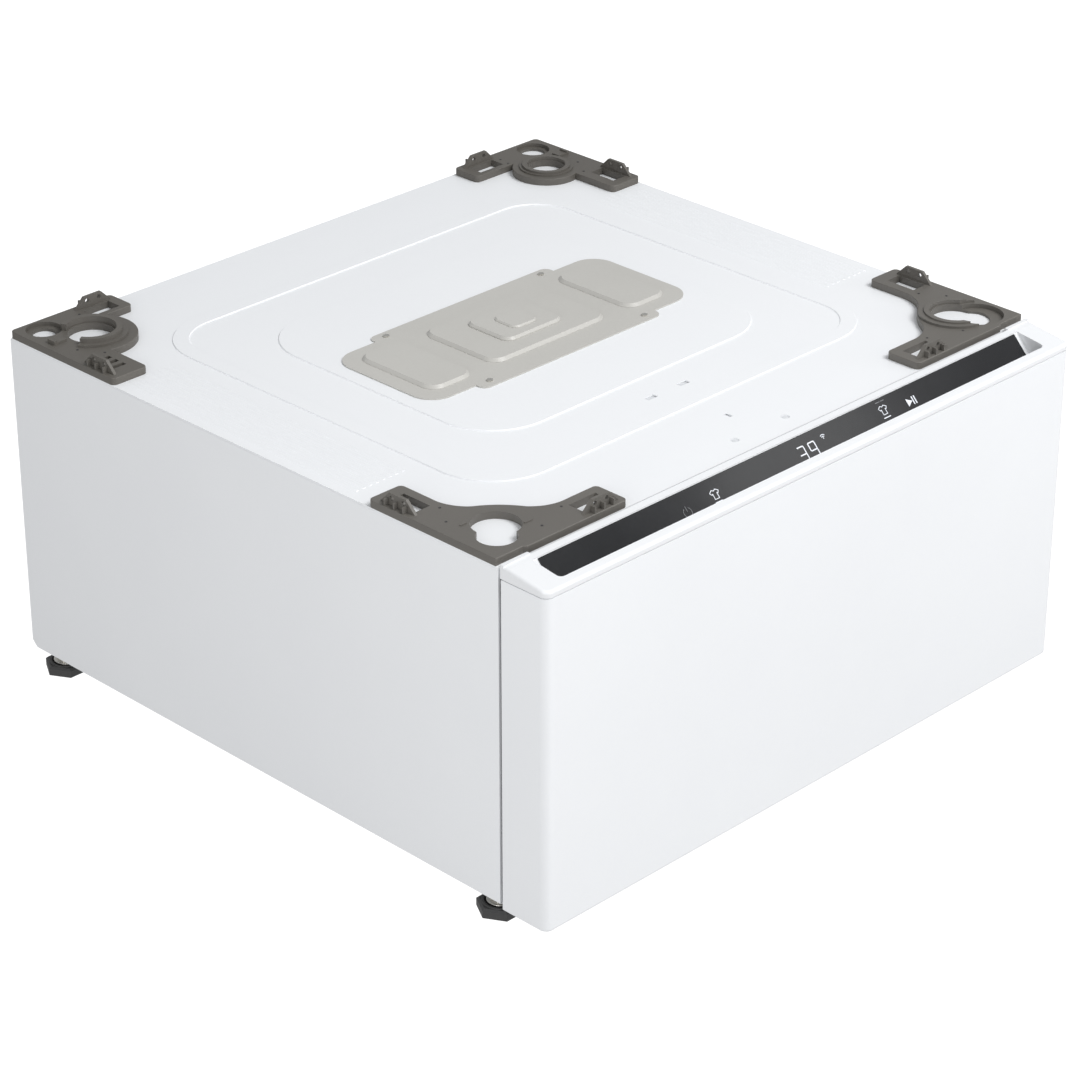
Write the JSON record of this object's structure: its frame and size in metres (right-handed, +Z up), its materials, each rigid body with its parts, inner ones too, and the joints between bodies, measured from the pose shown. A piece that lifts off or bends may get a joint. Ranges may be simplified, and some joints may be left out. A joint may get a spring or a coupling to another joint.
{
  "type": "pedestal drawer washing machine",
  "caption": "Low pedestal washing machine with a pull-out wash drawer, a touch strip in the drawer's top edge and corner brackets that carry a full-size machine.",
  "frame": {"origin": "on the floor, under the middle of the whole machine", "axes": "+Z up, the drawer front faces -Y, +X to the right of someone who faces +Y"},
  "size_m": [0.686, 0.716, 0.3679],
  "materials": {
    "painted_sheet": "satin",
    "cover_plate": "matte",
    "zinc": "satin",
    "taupe_plastic": "matte",
    "cap_plastic": "satin",
    "black_glass": "gloss",
    "clear_glass": "gloss",
    "deck_plastic": "satin",
    "grey_plastic": "matte",
    "tub_plastic": "matte",
    "rubber": "matte",
    "stainless": "brushed",
    "galvanised": "satin",
    "bright_steel": "gloss",
    "copper": "gloss",
    "board": "matte",
    "magnet": "matte",
    "dark_plastic": "matte"
  },
  "bodies": {
    "cabinet": {"left_side_panel": "painted_sheet", "right_side_panel": "painted_sheet", "top_panel": "painted_sheet", "access_cover": "cover_plate", "cover_screws": "zinc", "rear_panel": "galvanised", "base_pan": "galvanised", "foot_lock_nuts": "zinc", "bracket_rear_left": "taupe_plastic", "bracket_rear_right": "taupe_plastic", "bracket_front_left": "taupe_plastic", "bracket_front_right": "taupe_plastic", "inlet_valve": "grey_plastic", "drain_spigot": "grey_plastic", "power_gland": "dark_plastic", "slide_outer_left": "galvanised", "slide_outer_right": "galvanised"},
    "slide_stage_left": {"slide_mid_left": "galvanised"},
    "slide_stage_right": {"slide_mid_right": "galvanised"},
    "drawer": {"drawer_pan": "galvanised", "front_panel": "painted_sheet", "front_liner": "deck_plastic", "control_cap": "cap_plastic", "control_glass": "black_glass", "display_board": "board", "deck": "deck_plastic", "lid_hinge_pins": "zinc", "lid_latch": "dark_plastic", "dispenser_cup": "deck_plastic", "gasket": "rubber", "suspension_rods": "zinc", "suspension_springs": "zinc", "main_board_box": "dark_plastic", "pump_body": "grey_plastic", "pump_motor": "bright_steel", "slide_inner_left": "galvanised", "slide_inner_right": "galvanised"},
    "lid": {"lid_frame": "deck_plastic", "lid_window": "clear_glass"},
    "dispenser_lid": {"dispenser_cover": "deck_plastic"},
    "tub": {"outer_tub": "tub_plastic", "tub_ring": "tub_plastic", "bearings": "bright_steel", "shaft_seal": "rubber", "stator": "galvanised", "stator_coils": "copper", "spring_cups": "grey_plastic"},
    "drum": {"drum_wall": "stainless", "drum_base": "stainless", "balance_ring": "tub_plastic", "spin_shaft": "bright_steel"},
    "wash_drive": {"pulsator": "tub_plastic", "wash_shaft": "bright_steel", "rotor_bell": "galvanised", "rotor_magnets": "magnet"},
    "pump_rotor": {"pump_impeller": "grey_plastic"},
    "foot_front_left": {"foot_front_left": "dark_plastic"},
    "foot_front_right": {"foot_front_right": "dark_plastic"},
    "foot_rear_left": {"foot_rear_left": "dark_plastic"},
    "foot_rear_right": {"foot_rear_right": "dark_plastic"}
  },
  "joints": [
    {"name": "drawer_slide", "type": "slide", "parent": "cabinet", "child": "drawer", "axis": [0, -1, 0], "range_m": [0, 0.53]},
    {"name": "slide_left_travel", "type": "slide", "parent": "cabinet", "child": "slide_stage_left", "axis": [0, -1, 0], "range_m": [0, 0.265]},
    {"name": "slide_right_travel", "type": "slide", "parent": "cabinet", "child": "slide_stage_right", "axis": [0, -1, 0], "range_m": [0, 0.265]},
    {"name": "lid_hinge", "type": "hinge", "parent": "drawer", "child": "lid", "pos_m": [0, 0.207, 0.316], "axis": [-1, 0, 0], "range_deg": [0, 3.5]},
    {"name": "dispenser_cover_slide", "type": "slide", "parent": "drawer", "child": "dispenser_lid", "axis": [0, 1, 0], "range_m": [0, 0.1]},
    {"name": "tub_bounce", "type": "slide", "parent": "drawer", "child": "tub", "axis": [0, 0, 1], "range_m": [-0.006, 0.004], "stiffness_N_per_m": 16000, "springref_m": 0.0108, "deforming": ["suspension_springs", "gasket"]},
    {"name": "drum_spin", "type": "hinge", "parent": "tub", "child": "drum", "pos_m": [0, -0.011, 0.1], "axis": [0, 0, 1], "continuous": true},
    {"name": "pulsator_spin", "type": "hinge", "parent": "tub", "child": "wash_drive", "pos_m": [0, -0.011, 0.1], "axis": [0, 0, 1], "continuous": true},
    {"name": "pump_spin", "type": "hinge", "parent": "drawer", "child": "pump_rotor", "pos_m": [0.29, -0.206, 0.088], "axis": [0, 1, 0], "continuous": true},
    {"name": "foot_front_left_height", "type": "slide", "parent": "cabinet", "child": "foot_front_left", "axis": [0, 0, 1], "range_m": [-0.007, 0.003]},
    {"name": "foot_front_right_height", "type": "slide", "parent": "cabinet", "child": "foot_front_right", "axis": [0, 0, 1], "range_m": [-0.007, 0.003]},
    {"name": "foot_rear_left_height", "type": "slide", "parent": "cabinet", "child": "foot_rear_left", "axis": [0, 0, 1], "range_m": [-0.007, 0.003]},
    {"name": "foot_rear_right_height", "type": "slide", "parent": "cabinet", "child": "foot_rear_right", "axis": [0, 0, 1], "range_m": [-0.007, 0.003]}
  ],
  "couplings": [
    {"joint": "slide_left_travel", "follows": "drawer_slide", "ratio": 0.5},
    {"joint": "slide_right_travel", "follows": "drawer_slide", "ratio": 0.5}
  ]
}
